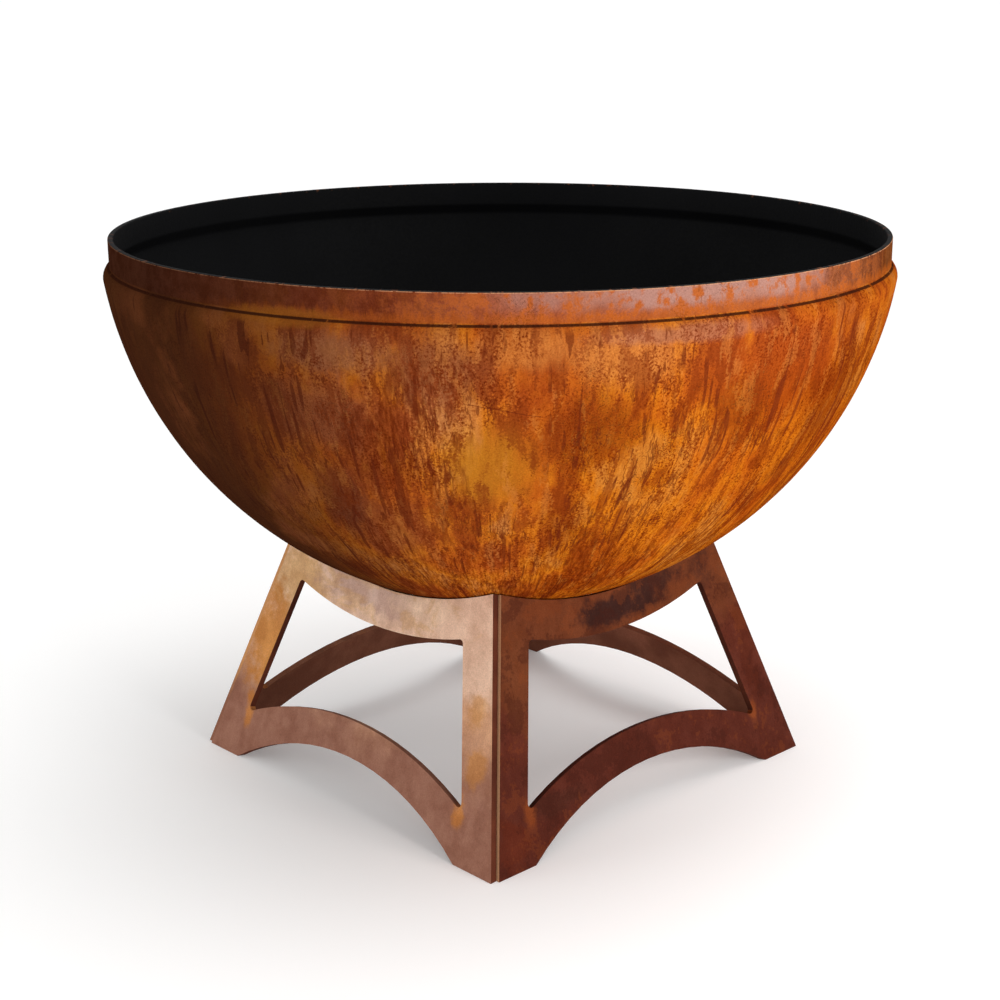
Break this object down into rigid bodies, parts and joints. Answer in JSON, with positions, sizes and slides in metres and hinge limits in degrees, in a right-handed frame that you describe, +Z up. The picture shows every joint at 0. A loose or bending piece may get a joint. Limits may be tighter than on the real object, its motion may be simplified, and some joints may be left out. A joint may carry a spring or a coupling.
{
  "type": "bowl fire pit",
  "caption": "Rusted steel fire bowl with a stepped rim band on a welded base of leaning arched plates, with a lift-out round grate.",
  "frame": {"origin": "on the ground, under the middle of the bowl", "axes": "+Z up, along the bowl's axis; the base's four plates face +X, +Y, -X and -Y, and the grate's round bars run along X"},
  "size_m": [0.9148, 0.9148, 0.6543],
  "materials": {
    "rusted_bowl": "matte",
    "rusted_plate": "matte",
    "weld": "matte",
    "grate_steel": "matte"
  },
  "bodies": {
    "stand": {"bowl": "rusted_bowl", "base_plate_right": "rusted_plate", "base_plate_back": "rusted_plate", "base_plate_left": "rusted_plate", "base_plate_front": "rusted_plate", "cradle_weld_right": "weld", "cradle_weld_back": "weld", "cradle_weld_left": "weld", "cradle_weld_front": "weld", "corner_weld_back_right": "weld", "corner_weld_back_left": "weld", "corner_weld_front_left": "weld", "corner_weld_front_right": "weld"},
    "grate": {"grate_ring": "grate_steel", "grate_bearer_1": "grate_steel", "grate_bearer_2": "grate_steel", "grate_bar_1": "grate_steel", "grate_bar_2": "grate_steel", "grate_bar_3": "grate_steel", "grate_bar_4": "grate_steel", "grate_bar_5": "grate_steel", "grate_bar_6": "grate_steel", "grate_bar_7": "grate_steel", "grate_bar_8": "grate_steel", "grate_bar_9": "grate_steel"}
  },
  "joints": [
    {"name": "grate_lift", "type": "slide", "parent": "stand", "child": "grate", "axis": [0, 0, 1], "range_m": [0, 0.42]}
  ]
}
